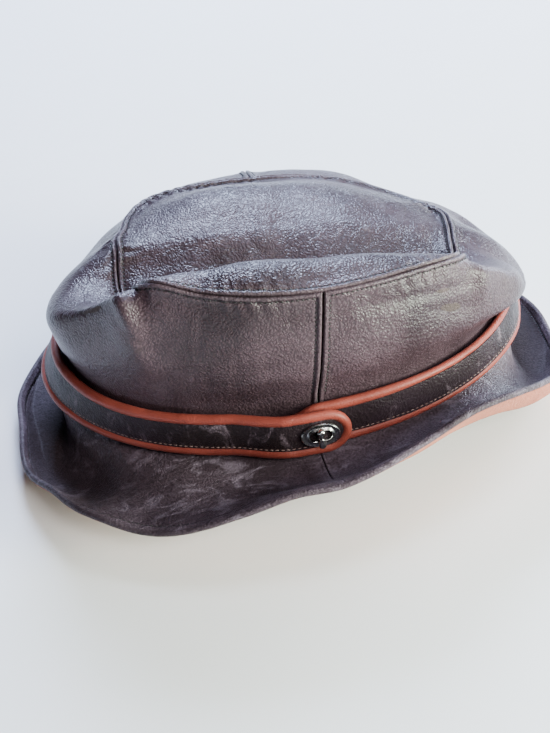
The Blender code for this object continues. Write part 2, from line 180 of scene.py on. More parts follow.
# Cubic curve through the values, with slopes from the neighbouring knots. Extra axes run along.
def smoothCurve(knots, values, at):
    steps = np.diff(knots, axis=0)
    rates = np.diff(values, axis=0) / steps
    inner = (rates[:-1] * steps[1:] + rates[1:] * steps[:-1]) / (steps[:-1] + steps[1:])
    slopes = np.concatenate([rates[:1], inner, rates[-1:]])
    if knots.ndim > 1:
        i = np.clip(np.sum(knots[:-1] <= at[None], axis=0) - 1, 0, len(steps) - 1)
    else:
        i = np.clip(np.searchsorted(knots, at, side="right") - 1, 0, len(steps) - 1)

    def pick(array, index):
        return np.take_along_axis(array, index[None], 0)[0] if array.ndim > 1 else array[index]

    step = pick(steps, i)
    t = np.clip((at - pick(knots, i)) / step, 0, 1)
    a, b = pick(values, i), pick(values, i + 1)
    start, end = pick(slopes, i) * step, pick(slopes, i + 1) * step
    return a + t * (start + t * (3 * (b - a) - 2 * start - end + t * (2 * (a - b) + start + end)))


def aroundHat(rows, columns, name, angles):
    knots = columnOf(rows, columns, "angle")
    values = columnOf(rows, columns, name)
    knots = np.concatenate([knots - 360, knots, knots + 360])
    return smoothCurve(knots, np.tile(values, 3), np.mod(angles, 360))


def fade(value, start, end):
    t = np.clip((value - start) / (end - start), 0, 1)
    return t * t * (3 - 2 * t)


def bell(value, width):
    return np.exp(-(value / width) ** 2)


# 1 at an angle, and less away from it
def nearAngle(angles, at, width):
    return bell(np.mod(angles - at + 180, 360) - 180, width)


# Smooth noise about -1 to 1, from gradients on a unit grid
chance = np.random.default_rng(11)
shuffled = chance.permutation(256)
gradients = chance.normal(size=(256, 3))
gradients /= np.linalg.norm(gradients, axis=1, keepdims=True)


def noise(points, size, seed=0):
    p = points / size + seed * 17.31
    cell = np.floor(p).astype(int)
    inside = p - cell
    ease = inside ** 3 * (inside * (inside * 6 - 15) + 10)
    total = 0
    for corner in np.ndindex(2, 2, 2):
        at = cell + corner
        pick = shuffled[(shuffled[(shuffled[at[..., 0] & 255] + at[..., 1]) & 255] + at[..., 2]) & 255]
        weight = np.prod(np.where(corner, ease, 1 - ease), axis=-1)
        total = total + weight * np.einsum("...i,...i->...", gradients[pick], inside - corner)
    return total * 1.6


# Thin sunken lines where the noise changes sign, like creases in hide
def creases(points, size, width, seed):
    bent = points + size * 0.35 * np.stack([noise(points, size * 1.7, seed + k) for k in (1, 2, 3)], -1)
    return bell(noise(bent, size, seed), width)


def oval(angles, out):
    length, width = hat["headHalfLength"] + hat["leather"], hat["headHalfWidth"] + hat["leather"]
    c, s = np.cos(np.radians(angles)), np.sin(np.radians(angles))
    size = np.hypot(c / length, s / width)
    return length * c + out * c / length / size, width * s + out * s / width / size


# Distance out from the oval, and height, of a point this far off the leaning wall and up along it
def openingProfile(angles, off, rise):
    push = aroundHat(openingRows, openingColumns, "push", angles) * hat["headHalfWidth"]
    lift = aroundHat(openingRows, openingColumns, "lift", angles) * hat["headHalfWidth"]
    lean = np.radians(aroundHat(openingRows, openingColumns, "lean", angles))
    return push + off * np.cos(lean) - rise * np.sin(lean), lift + off * np.sin(lean) + rise * np.cos(lean)


def placed(angles, out, up):
    x, y = oval(angles, out)
    return np.stack([x, y, up + 0 * x], -1)


def besideOpening(angles, off, rise):
    return placed(angles, *openingProfile(angles, off, rise))


# Angles with those near the front seam drifting round as the share grows
def slanted(angles, share, slant):
    away = (np.mod(angles - hat["frontSeam"] + 180, 360) - 180) / hat["seamSpread"]
    return angles + slant * share * np.exp(-away ** 2)


def wallSurface(angles, shares):
    strapTop = strap["pitch"] + strap["piping"] / 2
    rows = []
    for share in shares:
        turned = slanted(angles, share, hat["wallSlant"])
        knots = [openingProfile(turned, 0, rise) for rise in (-hat["wallFoot"], strapTop / 2, strapTop)]
        for name in ("belly", "shoulder", "seam"):
            knots.append((aroundHat(wallRows, wallColumns, name + "Out", turned) * hat["headHalfWidth"],
                          aroundHat(wallRows, wallColumns, name + "Up", turned) * hat["crownHeight"]))
        out, up = np.array(knots).swapaxes(0, 1)
        run = np.cumsum(np.hypot(np.diff(out, axis=0), np.diff(up, axis=0)), axis=0)
        run = np.concatenate([0 * run[:1], run])
        at = share * run[-1]
        rows.append(placed(turned, smoothCurve(run, out, at), smoothCurve(run, up, at)))
    return np.array(rows)


def tipHeight(x, y):
    at = y / hat["headHalfWidth"]
    places = columnOf(tipRows, tipColumns, "place")
    left, middle, right = (smoothCurve(places, columnOf(tipRows, tipColumns, side), at)
                           for side in ("left", "middle", "right"))
    across = np.clip(x / (hat["tipReach"] * hat["headHalfWidth"]), -1.2, 1.2)
    bend = (left + right) / 2 - middle
    return hat["crownHeight"] * (middle + across * (right - left) / 2 + across ** 2 * bend)


def tipSurface(seam, shares):
    centre = np.array(hat["tipCentre"]) * hat["headHalfWidth"]
    rows = []
    for share in shares:
        plan = seam[:, :2] + share * (centre - seam[:, :2])
        edge = seam[:, 2] - tipHeight(seam[:, 0], seam[:, 1])
        up = tipHeight(plan[:, 0], plan[:, 1]) + edge * (1 - share) ** 3
        rows.append(np.column_stack([plan, up]))
    return np.array(rows)


def brimSurface(angles, shares):
    thirds = np.linspace(0, 1, 4)
    fine = np.linspace(0, 1, brim["steps"] + 1)
    step = brim["width"] / brim["steps"]
    floor = 2 * brim["leather"] + hat["gap"] - hat["restHeight"]
    rows = []
    for share in shares:
        turned = slanted(angles, share, hat["brimSlant"])
        slopes = np.array([aroundHat(brimRows, brimColumns, name, turned) for name in brimColumns[1:]])
        slopes = np.radians([smoothCurve(thirds, side, fine) for side in slopes.T]).T
        middle = (slopes[1:] + slopes[:-1]) / 2
        weight = np.clip(share * brim["steps"] - np.arange(brim["steps"]), 0, 1)[:, None]
        out, up = openingProfile(turned, -hat["leather"], -hat["wallFoot"] - hat["gap"])
        out = out + np.sum(np.cos(middle) * step * weight, axis=0)
        up = up + np.sum(np.sin(middle) * step * weight, axis=0)
        rows.append(placed(turned, out, np.maximum(up, floor)))
    return np.array(rows)


# Unit normals of a closed grid of rows, pointing out of the hat
def normalsOf(grid):
    along = np.roll(grid, -1, 1) - np.roll(grid, 1, 1)
    n = np.cross(along, np.gradient(grid, axis=0))
    return n / np.maximum(np.linalg.norm(n, axis=2, keepdims=True), 1e-9)


def lengthsAlong(grid, axis):
    steps = np.linalg.norm(np.diff(grid, axis=axis), axis=2)
    start = np.zeros_like(np.take(steps, [0], axis=axis))
    return np.concatenate([start, np.cumsum(steps, axis=axis)], axis=axis)


def degreesAlong(length):
    return np.degrees(length / (hat["headHalfLength"] + hat["leather"]))


# Turn lock's axis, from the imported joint: X along the strap, Y up it, Z out
turn = frame["joints"][0]
lockOut = Vector(turn["axis"]).normalized()
lockAlong = Vector((0, 0, 1)).cross(lockOut).normalized()
lockFrame = Matrix((lockAlong, lockOut.cross(lockAlong), lockOut)).transposed().to_4x4()
lockFrame.translation = turn["pos_m"]


def strapRoute(count):
    endRound = strap["pitch"] / 2 + strap["piping"] / 2
    end = strap["lockAngle"] + 360 + degreesAlong(strap["lockToEnd"] - endRound)
    start = end - 360 - degreesAlong(strap["overlap"] - endRound)
    angles = np.linspace(start, end, count)
    full = start + 360 - degreesAlong(strap["lead"])
    lift = np.clip(1 + (angles - full) / degreesAlong(strap["rise"]), 0, 1)
    return angles, lift * lift * (3 - 2 * lift) * (strap["piping"] + hat["gap"])


def strapPoint(angles, off, rise):
    return besideOpening(angles, strap["clearance"] + strap["piping"] / 2 + off, rise)


# The solids were moved so that the hat stands centred on z = 0. The lock's place gives that move.
tabOff = strapRoute(2)[1][-1] - strap["leather"] / 2
lockHere = strapPoint(np.array([strap["lockAngle"]]), tabOff, strap["pitch"] / 2)[0]
settled = np.array(turn["pos_m"]) - lockHere
print("move from the band's frame, mm:", np.round(settled * 1000, 3))

made = {}


# Triangles and quads of a grid of points
def gridFaces(count, wide, closed, start=0):
    r = np.arange(count - 1)[:, None] * wide
    c = np.arange(wide if closed else wide - 1)[None]
    d = (c + 1) % wide
    quads = np.stack([r + c, r + d, r + d + wide, r + c + wide], -1).reshape(-1, 4)
    return quads + start


# A closed panel between two skins. Its inner skin takes the second material. Its outer skin carries a
# per-point attribute of painted highlight and painted shade, zero on the inner skin.
def panelMesh(name, outer, inner, materials, closed=False, pole=False, wear=None):
    count, wide = outer.shape[:2]
    size = count * wide
    verts = np.concatenate([outer.reshape(-1, 3), inner.reshape(-1, 3)]) + settled
    top = gridFaces(count, wide, closed)
    under = gridFaces(count, wide, closed, size)[:, ::-1]
    faces = [tuple(f) for f in top] + [tuple(f) for f in under]
    slots = [0] * len(top) + [1] * len(under)
    extra = []
    columns = range(wide if closed else wide - 1)
    last = (count - 1) * wide
    for c in columns:
        d = (c + 1) % wide
        extra.append((c, c + size, d + size, d))
        if not pole:
            extra.append((last + c, last + d, last + d + size, last + c + size))
    if not closed:
        for side, turned in ((0, 1), (wide - 1, -1)):
            for r in range(count - 1):
                a, b = r * wide + side, (r + 1) * wide + side
                extra.append((a, b, b + size, a + size)[::turned])
    faces += extra
    slots += [0] * len(extra)
    if pole:
        for base, turned, slot in ((0, 1, 0), (size, -1, 1)):
            verts = np.vstack([verts, verts[base + last:base + last + wide].mean(axis=0)])
            middle = len(verts) - 1
            faces += [(base + last + c, base + last + (c + 1) % wide, middle)[::turned] for c in range(wide)]
            slots += [slot] * wide
    piece = meshPiece(name, verts, faces, materials, slots)
    shade = np.zeros(len(verts))
    if wear is not None:
        shade[:size] = wear.ravel()
    piece.data.attributes.new("wear", "FLOAT", "POINT").data.foreach_set("value", shade)
    return piece


def meshPiece(name, verts, faces, materials, slots=None, sharp=50):
    mesh = bpy.data.meshes.new(name)
    mesh.from_pydata([tuple(v) for v in verts], [], faces)
    for material in materials:
        mesh.materials.append(material)
    if slots:
        mesh.polygons.foreach_set("material_index", slots)
    mesh.shade_smooth()
    mesh.set_sharp_from_angle(angle=math.radians(sharp))
    piece = bpy.data.objects.new(name, mesh)
    bpy.context.scene.collection.objects.link(piece)
    made[name] = piece
    return piece


# Shader maths: a socket that takes Python's own signs
class Value:
    def __init__(self, recipe, socket):
        self.recipe = recipe
        self.socket = socket

    def maths(self, operation, *others, clamp=False):
        return self.recipe.node("ShaderNodeMath", {"operation": operation, "use_clamp": clamp},
                                dict(enumerate(others)))

    def __add__(self, other):
        return self.maths("ADD", self, other)

    def __sub__(self, other):
        return self.maths("SUBTRACT", self, other)

    def __rsub__(self, other):
        return self.maths("SUBTRACT", other, self)

    def __mul__(self, other):
        return self.maths("MULTIPLY", self, other)

    def clipped(self):
        return self.maths("ADD", self, 0.0, clamp=True)

    __radd__ = __add__
    __rmul__ = __mul__


# A material being made: its tree, and one way to add any node
class Recipe:
    def __init__(self, name):
        self.material = bpy.data.materials.new(name)
        self.material.use_nodes = True
        self.tree = self.material.node_tree
        self.shader = self.tree.nodes["Principled BSDF"]
        self.place = self.node("ShaderNodeTexCoord", output="Object")

    def node(self, kind, settings={}, inputs={}, output=0):
        node = self.tree.nodes.new(kind)
        for key, value in settings.items():
            if key == "stops":
                ramp = node.color_ramp.elements
                while len(ramp) < len(value):
                    ramp.new(0.5)
                for stop, (position, shade) in zip(ramp, value):
                    stop.position = position
                    stop.color = (*shade, 1) if isinstance(shade, tuple) else (shade, shade, shade, 1)
            else:
                setattr(node, key, value)
        for key, value in inputs.items():
            socket = node.inputs[key] if isinstance(key, int) else next(
                s for s in node.inputs if key in (s.identifier, s.name))
            if isinstance(value, Value):
                self.tree.links.new(value.socket, socket)
            else:
                socket.default_value = value
        found = node.outputs[output] if isinstance(output, int) else next(
            s for s in node.outputs if output in (s.identifier, s.name))
        return Value(self, found)

    def noise(self, scale, detail=4.0, rough=0.55, bend=0.0, place=None):
        return self.node("ShaderNodeTexNoise", {}, {"Vector": place or self.place, "Scale": scale,
                         "Detail": detail, "Roughness": rough, "Distortion": bend}, "Fac")

    def cells(self, scale, place):
        return self.node("ShaderNodeTexVoronoi", {}, {"Vector": place, "Scale": scale}, "Distance")

    def ramp(self, value, *stops):
        return self.node("ShaderNodeValToRGB", {"stops": stops}, {"Fac": value}, "Color")

    def mix(self, share, first, second):
        return self.node("ShaderNodeMix", {"data_type": "RGBA"}, {"Factor_Float": share,
                         "A_Color": first, "B_Color": second}, "Result_Color")

    def stretched(self, turn, size):
        return self.node("ShaderNodeMapping", {}, {"Vector": self.place, "Rotation": turn, "Scale": size})

    def bump(self, height, distance, strength=1.0, below=None):
        inputs = {"Height": height, "Distance": distance, "Strength": strength}
        if below:
            inputs["Normal"] = below
        return self.node("ShaderNodeBump", {}, inputs)

    def finish(self, colour, rough, normal=None, **plain):
        for key, value in (("Base Color", colour), ("Roughness", rough), ("Normal", normal)):
            if isinstance(value, Value):
                self.tree.links.new(value.socket, self.shader.inputs[key])
            elif value is not None:
                self.shader.inputs[key].default_value = value
        for key, value in plain.items():
            self.shader.inputs[key.replace("_", " ")].default_value = value
        return self.material


def tone(red, green, blue):
    return (red, green, blue, 1)


# Hide: pebbled grain, fine wrinkles, cloudy colour and pale scuffs, with painted highlight and painted shade
# read from a per-point attribute
def hideMaterial(name, look):
    r = Recipe(name)
    drift = r.node("ShaderNodeTexNoise", {}, {"Vector": r.place, "Scale": look["bendScale"]}, "Color")
    bent = r.node("ShaderNodeMix", {"data_type": "VECTOR"}, {
        "Factor_Float": look["bend"], "A_Vector": r.place, "B_Vector": drift}, "Result_Vector")
    pebble = r.ramp(r.cells(look["pebble"], bent), *look["pebbleStops"])
    wrinkle = r.noise(look["wrinkle"], 5.0, 0.6, 0.6, r.stretched(look["turn"], look["stretch"]))
    wrinkle = r.ramp(wrinkle, *look["wrinkleStops"])
    cloud = r.noise(look["cloud"], 3.0, 0.6, 0.4)
    scuff = r.noise(look["scuffScale"], 6.0, 0.7, 1.2, r.stretched(look["scuffTurn"], look["scuffStretch"]))
    scuffTo = look["scuffFrom"] + look["scuffEdge"]
    scuff = r.ramp(scuff, (look["scuffFrom"], 0.0), (scuffTo, 1.0)) * look["scuffs"]
    colour = r.mix(r.ramp(cloud, *look["cloudStops"]), look["dark"], look["light"])
    colour = r.mix(look["grooves"] + pebble * (1 - look["grooves"]), look["groove"], colour)
    # Painted light from the per-point attribute: above 0 towards the scuff colour, a painted highlight with
    # rub wear; below 0 towards the groove colour as painted shade, and rougher
    wear = r.node("ShaderNodeAttribute", {"attribute_name": "wear"}, output="Fac")
    colour = r.mix(((scuff + wear * look["worn"]) * (0.6 + pebble * 0.4)).clipped(), colour, look["scuff"])
    colour = r.mix((wear * -look["paintedShade"]).clipped(), colour, look["groove"])
    sunk = (wear * -1.0).clipped()
    rough = look["rough"] + (cloud - 0.5) * look["roughClouds"] + (1 - pebble) * look["roughPores"]
    rough = rough + sunk * look["roughSunk"]
    drape = r.noise(look["drape"], 2.0, 0.5, 0.8, r.stretched(look["turn"], look["drapeStretch"]))
    normal = r.bump(drape, look["drapeDepth"], look["draping"])
    normal = r.bump(pebble, look["pebbleDepth"], look["grain"], normal)
    normal = r.bump(wrinkle, look["wrinkleDepth"], look["wrinkles"], normal)
    return r.finish(colour, rough, normal, Specular_IOR_Level=look["gloss"], Coat_Weight=look["coat"],
                    Coat_Roughness=look["coatRough"])


plainHide = {
    "dark": tone(0.028, 0.0165, 0.021),
    "light": tone(0.070, 0.043, 0.054),
    "groove": tone(0.010, 0.006, 0.007),
    "scuff": tone(0.155, 0.110, 0.125),
    "grooves": 0.40,
    "scuffs": 0.45,
    "scuffFrom": 0.60,
    "scuffEdge": 0.12,
    # strength of the attribute's painted highlight (with rub wear), then of its painted shade
    "worn": 0.4,
    "paintedShade": 0.85,
    "cloud": 22.0,
    "cloudStops": ((0.35, 0.0), (0.65, 1.0)),
    "rough": 0.26,
    "roughClouds": 0.22,
    "roughPores": 0.10,
    "roughSunk": 0.55,
    "gloss": 0.21,
    "coat": 0.06,
    "coatRough": 0.32,
    "bend": 0.004,
    "bendScale": 160.0,
    "pebble": 1050.0,
    "pebbleStops": ((0.05, 1.0), (0.80, 0.0)),
    "pebbleDepth": 0.00028,
    "grain": 0.8,
    "wrinkle": 300.0,
    "wrinkleStops": ((0.42, 0.0), (0.5, 1.0), (0.58, 0.25)),
    "wrinkleDepth": 0.0002,
    "wrinkles": 0.22,
    "drape": 26.0,
    "drapeDepth": 0.005,
    "drapeStretch": (1.0, 0.45, 0.8),
    "draping": 0.55,
    "turn": (0.4, 0.2, 0.9),
    "stretch": (1.0, 0.35, 0.8),
    "scuffScale": 95.0,
    "scuffTurn": (0.2, 0.7, 0.5),
    "scuffStretch": (0.4, 1.0, 0.25),
}
crownHide = hideMaterial("crown_hide", plainHide)
brimHide = hideMaterial("brim_hide", {
    **plainHide,
    "dark": tone(0.046, 0.032, 0.041),
    "light": tone(0.120, 0.088, 0.112),
    "scuff": tone(0.215, 0.175, 0.220),
    "scuffs": 0.65,
    "gloss": 0.12,
    "coat": 0.02,
    "scuffFrom": 0.52,
    "scuffScale": 150.0,
    "pebble": 1200.0,
    "wrinkle": 150.0,
    "wrinkleDepth": 0.0004,
    "wrinkles": 0.5,
    "stretch": (0.45, 1.0, 1.0),
    "scuffStretch": (0.35, 0.8, 0.7),
})
strapHide = hideMaterial("strap_hide_worn", {
    **plainHide,
    "dark": tone(0.010, 0.006, 0.007),
    "light": tone(0.026, 0.016, 0.024),
    "scuff": tone(0.120, 0.088, 0.108),
    "scuffs": 0.9,
    "scuffFrom": 0.55,
    "scuffScale": 240.0,
    "gloss": 0.14,
    "coat": 0.02,
    "rough": 0.40,
    "pebble": 1100.0,
})
liningHide = hideMaterial("brim_lining_hide", {
    **plainHide,
    "dark": tone(0.27, 0.080, 0.048),
    "light": tone(0.38, 0.135, 0.085),
    "scuff": tone(0.60, 0.33, 0.22),
    "scuffs": 0.3,
    "rough": 0.55,
    "coat": 0.0,
    "grooves": 1.0,
})
pipingHide = hideMaterial("piping_hide_rolled", {
    **plainHide,
    "dark": tone(0.135, 0.024, 0.017),
    "light": tone(0.225, 0.046, 0.033),
    "scuff": tone(0.37, 0.13, 0.10),
    "gloss": 0.20,
    "scuffs": 0.4,
    "rough": 0.42,
    "pebble": 1500.0,
    "pebbleDepth": 0.0001,
    "wrinkle": 420.0,
    "grooves": 1.0,
})
fleshSide = hideMaterial("flesh_side", {
    **plainHide,
    "dark": tone(0.050, 0.035, 0.033),
    "light": tone(0.085, 0.060, 0.054),
    "rough": 0.75,
    "coat": 0.0,
    "gloss": 0.3,
    "pebble": 1600.0,
})


def threadMaterial(name, dark, light):
    r = Recipe(name)
    twist = r.node("ShaderNodeTexWave", {"bands_direction": "DIAGONAL"},
                   {"Vector": r.place, "Scale": 900.0, "Distortion": 2.0}, "Fac")
    return r.finish(r.mix(twist, dark, light), 0.6 + twist * 0.15, r.bump(twist, 0.0001, 0.6))


# Near black: the stitches' dark thread with the shade of their holes painted in
darkThreadHoleShade = threadMaterial("dark_thread_hole_shade", tone(0.0012, 0.001, 0.0012), tone(0.003, 0.002, 0.0025))
paleThread = threadMaterial("pale_thread", tone(0.11, 0.065, 0.06), tone(0.26, 0.17, 0.155))


def nickelMaterial(name, dark, light, rough):
    r = Recipe(name)
    wear = r.noise(260.0, 5.0, 0.6)
    scratch = r.noise(1400.0, 3.0, 0.5, 0.0, r.stretched((0.0, 0.6, 0.3), (1.0, 0.08, 1.0)))
    return r.finish(r.mix(wear, dark, light), rough + (wear - 0.5) * 0.2 + scratch * 0.06,
                    r.bump(scratch, 0.00003, 0.3), Metallic=1.0)


# Plate, knob and base are copies of one dark nickel. The plate and the knob, lightest, are painted lighter to
# stand in for highlights the lamps don't give: painted highlight.
plateNickelPaintedHighlight = nickelMaterial("plate_nickel_painted_highlight", tone(0.26, 0.26, 0.27), tone(0.42, 0.42, 0.41), 0.24)
knobNickelPaintedHighlight = nickelMaterial("knob_nickel_painted_highlight", tone(0.42, 0.41, 0.39), tone(0.62, 0.61, 0.58), 0.20)
baseNickel = nickelMaterial("base_nickel", tone(0.05, 0.05, 0.052), tone(0.10, 0.10, 0.10), 0.32)
print("materials made")


# Stations from one seam to the next, close together beside the seams
def seamStations(start, end, near, spacing):
    steps = degreesAlong(np.array(near) * mm)
    inner = np.linspace(start + steps[-1], end - steps[-1],
                        max(2, int((end - start) / degreesAlong(spacing * mm))))
    return np.concatenate([start + steps[:-1], inner, end - steps[:-1][::-1]])


# Shares of a length, close together near its end
def edgeShares(near, length, spacing):
    steps = np.array(near) * mm / length
    inner = np.linspace(0, 1 - steps[-1], max(2, int(length / (spacing * mm))))
    return np.concatenate([inner, 1 - steps[:-1][::-1]])


# Leather turned in at a seam: a groove, a plump flap, and a sunk stitch row. Distances in metres.
def seamRelief(distance, look):
    d = distance / mm
    groove = -look["groove"] * bell(d, look["grooveWidth"])
    flap = look["flap"] * fade(d, 0.15, 0.8) * (1 - fade(d, look["stitchRow"] - 0.9, look["stitchRow"] + 0.1))
    row = -look["sink"] * bell(d - look["stitchRow"], 0.45)
    return (groove + flap + row) * mm


# Painted light beside a seam: paler (above 0) on the raised flap and just past the stitch row, a painted
# highlight with rub wear, and darker (below 0) in the groove, painted shade
def seamHighlightAndShade(distance, look):
    d = distance / mm
    return (0.75 * bell(d - 0.75, 0.55) + 0.35 * bell(d - look["stitchRow"] - 0.9, 0.6)
            - 1.2 * bell(d, look["grooveWidth"]))


# Short folds that run away from a seam, where its thread draws the leather up
def puckers(along, distance, look, points):
    wave = np.sin(2 * math.pi * (along / mm / look["pitch"] + 1.1 * noise(points, 0.016, 5)))
    strength = bell(distance / mm - look["from"], look["reach"]) * (distance / mm > 0.4)
    patchy = fade(noise(points, 0.022, 9), -0.35, 0.55)
    return wave * strength * patchy * look["depth"] * mm


# Soft dents and fine creases of worn leather
def slouch(points, look):
    dents = noise(points, 0.034, 1) * look["dents"] + noise(points, 0.013, 2) * look["ripples"]
    turned = points * np.array(look["grainwise"])
    lines = creases(turned, 0.020, 0.07, 20) * fade(noise(points, 0.03, 31), -0.2, 0.5)
    small = creases(turned, 0.0085, 0.10, 40) * fade(noise(points, 0.02, 35), -0.1, 0.5)
    return (dents - lines * look["creases"] - small * look["fineCreases"]) * mm


nearSeam = (0.15, 0.35, 0.55, 0.8, 1.05, 1.3, 1.6, 1.9, 2.15, 2.4, 2.65, 2.95, 3.4, 4.0, 4.8)
crownLook = {
    "spacing": 1.15,
    "groove": 0.95,
    "grooveWidth": 0.32,
    "flap": 0.75,
    "stitchRow": 2.4,
    "sink": 0.22,
    "dents": 1.9,
    "ripples": 0.22,
    "creases": 0.28,
    "fineCreases": 0.14,
    "grainwise": (1.0, 1.0, 0.7),
    "wallLength": 0.075,
    "tipLength": 0.060,
    "tipRings": 46,
    "smoothFoot": (0.020, 0.034),    # the strap lies over the wall's foot, so it has no dents
    "calmBeside": (0.002, 0.006),    # dents are fainter beside a seam
    "seamDents": 0.35,
    "rowStart": 0.30,                # the wall's upright stitch rows start above the strap
    "rowEnd": 14,
    "rowSides": 12,
}
tipPuckers = {"pitch": 5.5, "from": 4.0, "reach": 3.6, "depth": 0.5}

# Soft folds drawn on the crown wall: from one angle and share of the wall's height to another, mm
foldColumns = ("angle", "share", "toAngle", "toShare", "width", "depth")
foldRows = [
    (276, 0.86, 306, 0.80, 3.0, 0.9),
    (296, 0.70, 318, 0.55, 6.0, 0.8),
    (214, 0.66, 240, 0.72, 5.0, 0.9),
    (205, 0.48, 226, 0.60, 4.0, 0.8),
    (250, 0.52, 262, 0.60, 7.0, 0.6),
]


def drawnFolds(angles, shares, tall):
    across = np.radians(angles)[None] * hat["headHalfLength"] + 0 * shares[:, None]
    up = shares[:, None] * tall + 0 * across
    total = 0
    for row in foldRows:
        angle, share, toAngle, toShare, width, depth = row
        a = np.array([math.radians(angle) * hat["headHalfLength"], share * tall])
        b = np.array([math.radians(toAngle) * hat["headHalfLength"], toShare * tall])
        step = b - a
        t = np.clip(((across - a[0]) * step[0] + (up - a[1]) * step[1]) / (step @ step), 0, 1)
        away = np.hypot(across - a[0] - t * step[0], up - a[1] - t * step[1])
        total = total - depth * mm * bell(away / mm, width) * np.sin(math.pi * (0.15 + 0.7 * t))
    return total


stitchLines = {"dark": [], "pale": []}


# Remember a stitch row: points on the leather, and which way is out
def stitchRow(thread, points, outward, lift=0.12 * mm):
    stitchLines[thread].append((points + outward * lift + settled, outward))


def crown():
    columns = [seamStations(hat["rearSeam"], hat["frontSeam"], nearSeam, crownLook["spacing"]),
               seamStations(hat["frontSeam"], hat["rearSeam"] + 360, nearSeam, crownLook["spacing"])]
    angles = np.concatenate(columns)
    tall, dents, end = crownLook["wallLength"], crownLook["seamDents"], crownLook["rowEnd"]
    wallShares = edgeShares(nearSeam, tall, crownLook["spacing"])
    near = np.array(nearSeam) * mm / crownLook["tipLength"]
    tipShares = np.concatenate([near, np.linspace(near[-1], hat["tipInnerRing"], crownLook["tipRings"])[1:]])
    wall = wallSurface(angles, wallShares)
    tip = tipSurface(wallSurface(angles, [1.0])[0], tipShares)
    whole = np.concatenate([wall, tip])
    out = normalsOf(whole)
    count = len(wallShares)
    worn = slouch(whole, crownLook)
    up = np.concatenate([lengthsAlong(wall, 0), np.full(tip.shape[:2], 1.0)])
    worn = worn * fade(up, *crownLook["smoothFoot"])
    worn[:count] += drawnFolds(angles, wallShares, tall)
    fromTip = np.concatenate([lengthsAlong(wall[::-1], 0)[::-1], lengthsAlong(tip, 0)]) + nearSeam[0] * mm
    along = np.concatenate([np.zeros(1), np.cumsum(np.linalg.norm(np.diff(wall[-1], axis=0), axis=1))])
    folds = puckers(along[None] + 0 * fromTip, fromTip, tipPuckers, whole)
    first = 0
    for name, stations in zip(("wallLeft", "wallRight"), columns):
        part = slice(first, first + len(stations))
        first += len(stations)
        base, side = wall[:, part], out[:count, part]
        fromStart = lengthsAlong(base, 1) + nearSeam[0] * mm
        fromEnd = lengthsAlong(base[:, ::-1], 1)[:, ::-1] + nearSeam[0] * mm
        sew = np.minimum(np.minimum(fromStart, fromEnd), fromTip[:count, part])
        calm = fade(sew, *crownLook["calmBeside"])
        relief = seamRelief(sew, crownLook) + worn[:count, part] * (dents + (1 - dents) * calm)
        relief = relief + folds[:count, part]
        outer = base + side * relief[..., None]
        # the seam's painted highlight and painted shade go on the outer skin
        panelMesh(name, outer, base - side * hat["leather"], [crownHide, fleshSide],
                  wear=seamHighlightAndShade(sew, crownLook))
        low = int(count * crownLook["rowStart"])
        rows = np.arange(low, count - end)
        for distances in (fromStart, fromEnd):
            column = np.argmin(np.abs(distances - crownLook["stitchRow"] * mm), axis=1)[low:-end]
            stitchRow("dark", outer[rows, column], side[rows, column])
        row = np.argmin(np.abs(fromTip[:count, part] - crownLook["stitchRow"] * mm), axis=0)
        across = np.arange(len(stations))[crownLook["rowSides"]:-crownLook["rowSides"]]
        stitchRow("dark", outer[row[across], across], side[row[across], across])
    calm = fade(fromTip[count:], *crownLook["calmBeside"])
    relief = seamRelief(fromTip[count:], crownLook) + folds[count:]
    relief = relief + worn[count:] * (dents + (1 - dents) * calm)
    outer = tip + out[count:] * relief[..., None]
    # the seam's painted highlight and painted shade go on the outer skin
    panelMesh("crownTip", outer, tip - out[count:] * hat["leather"], [crownHide, fleshSide], True, True,
              seamHighlightAndShade(fromTip[count:], crownLook))
    row = np.argmin(np.abs(fromTip[count:] - crownLook["stitchRow"] * mm), axis=0)
    across = np.append(np.arange(len(angles)), 0)
    stitchRow("dark", outer[row[across], across], out[count:][row[across], across])


crown()
print("crown made")

brimLook = {
    "spacing": 1.2,
    "groove": 0.8,
    "grooveWidth": 0.30,
    "flap": 0.18,
    "stitchRow": 1.6,
    "sink": 0.0,
    "dents": 0.7,
    "ripples": 0.28,
    "creases": 0.30,
    "fineCreases": 0.16,
    "grainwise": (0.55, 1.0, 1.0),
    "rimRow": 2.9,
    "rimSink": 0.45,
    "rimPlump": 0.40,
    "rollSteps": 9,
    "near": (0.03, *nearSeam[1:10]),
    "rim": (0.0, 0.5, 1.0, 1.5, 2.0, 2.5, 2.9, 3.3, 3.8, 4.4),
    "rows": 1.0,
    "smoothRoot": (0.001, 0.010),
    "smoothRim": (0.0005, 0.006),
    "smoothFloor": (0.004, 0.010),   # the brim is pressed smooth where it rests
    "tight": (192, 32, 0.45, 0.9),   # the rim's folds are strongest at this angle, over this width
    # where the brim's end channels get painted shade, and how dark
    "gutters": ((188, 24), (352, 26)),
    "gutterFrom": (0.30, 0.55),
    "gutterTo": (0.88, 1.0),
    "gutterPaintedShade": 0.95,
    # paler just inside the rim: the smooth rolled edge and a painted highlight
    "rimPaintedHighlight": 0.15,
    "rollDark": 0.25,
    "coreShare": 0.8,
}
rimPuckers = {"pitch": 3.6, "from": 4.6, "reach": 2.6, "depth": 0.26}


